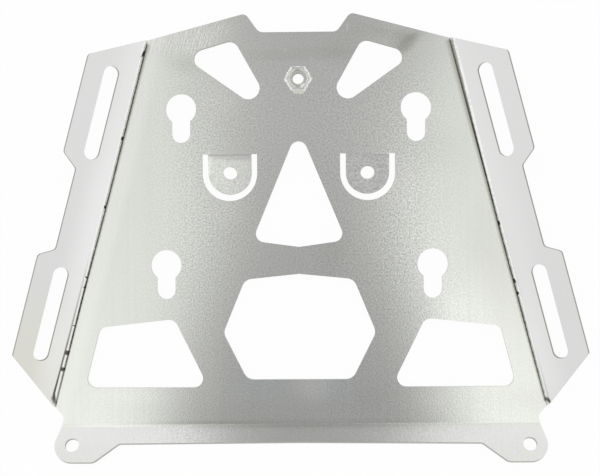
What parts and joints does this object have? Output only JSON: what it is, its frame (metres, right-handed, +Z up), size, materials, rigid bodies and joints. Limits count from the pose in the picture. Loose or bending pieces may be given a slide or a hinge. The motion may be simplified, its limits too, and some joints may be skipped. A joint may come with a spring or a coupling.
{
  "type": "top case mounting plate",
  "caption": "Folded aluminium adapter plate with keyholes, strap slots, lanced tabs and a press-in nut, to carry a top case on a motorcycle's rear rack.",
  "frame": {"origin": "on the axis of the press nut's thread, at the top face of the deck", "axes": "+X to the right across the plate, +Y towards the narrow front end, +Z up out of the deck's top face"},
  "size_m": [0.3524, 0.2772, 0.0242],
  "materials": {
    "sheet": "satin mill finish",
    "nut": "zinc-plated steel"
  },
  "bodies": {
    "root": {"mounting_plate": "sheet", "press_nut": "nut"}
  },
  "joints": []
}
